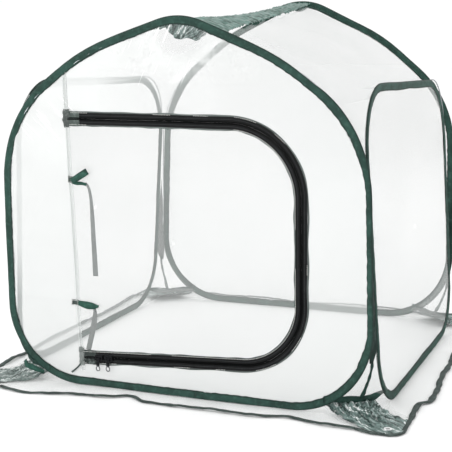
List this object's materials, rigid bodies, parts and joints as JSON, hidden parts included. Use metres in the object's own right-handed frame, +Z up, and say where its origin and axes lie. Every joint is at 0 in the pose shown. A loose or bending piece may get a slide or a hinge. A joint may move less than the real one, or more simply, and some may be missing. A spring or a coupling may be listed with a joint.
{
  "type": "pop up greenhouse",
  "caption": "Small free-standing pop-up greenhouse of clear film walls and gabled roof on sprung wire hoops, with a zipped door, ground skirts and eyelets; it folds flat.",
  "frame": {"origin": "on the ground under the middle of the greenhouse", "axes": "+Z up, +X to the right seen from the door, the door faces -Y"},
  "size_m": [0.8614, 0.82, 0.7232],
  "materials": {
    "clear_film": "clear flexible film, glossy, slightly milky",
    "woven_green": "dark green plain-weave sleeve and binding",
    "ridge_green": "lighter green gathered strip",
    "spring_steel": "sprung round wire",
    "zip_tape": "black woven zip tape",
    "zip_coil": "black nylon coil",
    "zip_slider": "black painted slider",
    "zip_pull": "pale metal pull",
    "strap_grey": "grey-green tape",
    "eyelet_metal": "pressed metal eyelet"
  },
  "bodies": {
    "front": {"front_wire": "spring_steel", "front_sleeve": "woven_green", "front_film": "clear_film", "front_skirt": "clear_film", "front_hem": "woven_green", "zip_tape_panel": "zip_tape", "zip_coil_panel": "zip_coil", "zip_stop_top": "strap_grey", "zip_stop_bottom": "strap_grey"},
    "right": {"right_wire": "spring_steel", "right_sleeve": "woven_green", "right_film": "clear_film", "right_skirt": "clear_film", "right_hem": "woven_green"},
    "back": {"back_wire": "spring_steel", "back_sleeve": "woven_green", "back_film": "clear_film", "back_skirt": "clear_film", "back_hem": "woven_green"},
    "left": {"left_wire": "spring_steel", "left_sleeve": "woven_green", "left_film": "clear_film", "left_skirt": "clear_film", "left_hem": "woven_green"},
    "ridge": {"ridge_strip": "ridge_green", "roof_film_left": "clear_film", "roof_film_right": "clear_film"},
    "door": {"door_film": "clear_film", "zip_tape_door": "zip_tape", "zip_coil_door": "zip_coil", "tie_top_outer": "woven_green", "tie_bottom_outer": "woven_green"},
    "slider_left": {"slider_left": "zip_slider"},
    "slider_right": {"slider_right": "zip_slider"},
    "pull_left": {"pull_left": "zip_pull"},
    "pull_right": {"pull_right": "zip_pull"},
    "tie_top": {"tie_top_inner": "strap_grey"},
    "tie_bottom": {"tie_bottom_inner": "strap_grey"},
    "corner_fr": {"corner_fr_gusset": "clear_film", "corner_fr_band": "woven_green", "corner_fr_piping": "woven_green", "corner_fr_skirt": "clear_film", "corner_fr_eyelet": "eyelet_metal"},
    "corner_fl": {"corner_fl_gusset": "clear_film", "corner_fl_band": "woven_green", "corner_fl_piping": "woven_green", "corner_fl_skirt": "clear_film", "corner_fl_eyelet": "eyelet_metal"},
    "corner_br": {"corner_br_gusset": "clear_film", "corner_br_band": "woven_green", "corner_br_piping": "woven_green", "corner_br_skirt": "clear_film", "corner_br_eyelet": "eyelet_metal"},
    "corner_bl": {"corner_bl_gusset": "clear_film", "corner_bl_band": "woven_green", "corner_bl_piping": "woven_green", "corner_bl_skirt": "clear_film", "corner_bl_eyelet": "eyelet_metal"}
  },
  "joints": [
    {"name": "fold_right", "type": "hinge", "parent": "front", "child": "right", "pos_m": [0.35, -0.321, 0], "axis": [0, 0, -1], "range_deg": [0, 88]},
    {"name": "fold_left", "type": "hinge", "parent": "front", "child": "left", "pos_m": [-0.35, -0.321, 0], "axis": [0, 0, -1], "range_deg": [0, 88]},
    {"name": "fold_back", "type": "hinge", "parent": "right", "child": "back", "pos_m": [0.35, 0.321, 0], "axis": [0, 0, 1], "range_deg": [0, 88]},
    {"name": "fold_ridge", "type": "hinge", "parent": "front", "child": "ridge", "pos_m": [0, -0.321, 0.69], "axis": [0, 0, -1], "range_deg": [0, 88], "deforming": ["ridge_strip", "roof_film_left", "roof_film_right"]},
    {"name": "fold_corner_fr", "type": "hinge", "parent": "front", "child": "corner_fr", "pos_m": [0.35, -0.321, 0], "axis": [0, 0, -1], "range_deg": [0, 44], "deforming": ["corner_fr_gusset", "corner_fr_band", "corner_fr_piping", "corner_fr_skirt"]},
    {"name": "fold_corner_fl", "type": "hinge", "parent": "front", "child": "corner_fl", "pos_m": [-0.35, -0.321, 0], "axis": [0, 0, -1], "range_deg": [0, 44], "deforming": ["corner_fl_gusset", "corner_fl_band", "corner_fl_piping", "corner_fl_skirt"]},
    {"name": "fold_corner_br", "type": "hinge", "parent": "right", "child": "corner_br", "pos_m": [0.35, 0.321, 0], "axis": [0, 0, 1], "range_deg": [0, 44], "deforming": ["corner_br_gusset", "corner_br_band", "corner_br_piping", "corner_br_skirt"]},
    {"name": "fold_corner_bl", "type": "hinge", "parent": "back", "child": "corner_bl", "pos_m": [-0.35, 0.321, 0], "axis": [0, 0, -1], "range_deg": [0, 44], "deforming": ["corner_bl_gusset", "corner_bl_band", "corner_bl_piping", "corner_bl_skirt"]},
    {"name": "door_hinge", "type": "hinge", "parent": "front", "child": "door", "pos_m": [-0.203, -0.3483, 0], "axis": [0.0373, 0, -0.9993], "range_deg": [0, 140]},
    {"name": "slide_left", "type": "slide", "parent": "door", "child": "slider_left", "axis": [0.9984, 0, 0.0557], "range_m": [-0.008, 0]},
    {"name": "slide_right", "type": "slide", "parent": "door", "child": "slider_right", "axis": [0.9984, 0, 0.0557], "range_m": [0, 0.25]},
    {"name": "pull_left_flip", "type": "hinge", "parent": "slider_left", "child": "pull_left", "pos_m": [-0.169, -0.35595, 0.0614], "axis": [-1, 0, 0], "range_deg": [0, 170]},
    {"name": "pull_right_flip", "type": "hinge", "parent": "slider_right", "child": "pull_right", "pos_m": [-0.148, -0.35595, 0.0626], "axis": [-1, 0, 0], "range_deg": [0, 170]},
    {"name": "tie_top_swing", "type": "hinge", "parent": "front", "child": "tie_top", "pos_m": [-0.19068, -0.3465, 0.407], "axis": [0, 1, 0], "range_deg": [-20, 20]},
    {"name": "tie_bottom_swing", "type": "hinge", "parent": "front", "child": "tie_bottom", "pos_m": [-0.18158, -0.3465, 0.163], "axis": [0, 1, 0], "range_deg": [-20, 20]}
  ],
  "couplings": [
    {"joint": "fold_left", "follows": "fold_right", "ratio": 1},
    {"joint": "fold_back", "follows": "fold_right", "ratio": 1},
    {"joint": "fold_ridge", "follows": "fold_right", "ratio": 1},
    {"joint": "fold_corner_fr", "follows": "fold_right", "ratio": 0.5},
    {"joint": "fold_corner_fl", "follows": "fold_right", "ratio": 0.5},
    {"joint": "fold_corner_br", "follows": "fold_right", "ratio": 0.5},
    {"joint": "fold_corner_bl", "follows": "fold_right", "ratio": 0.5}
  ]
}
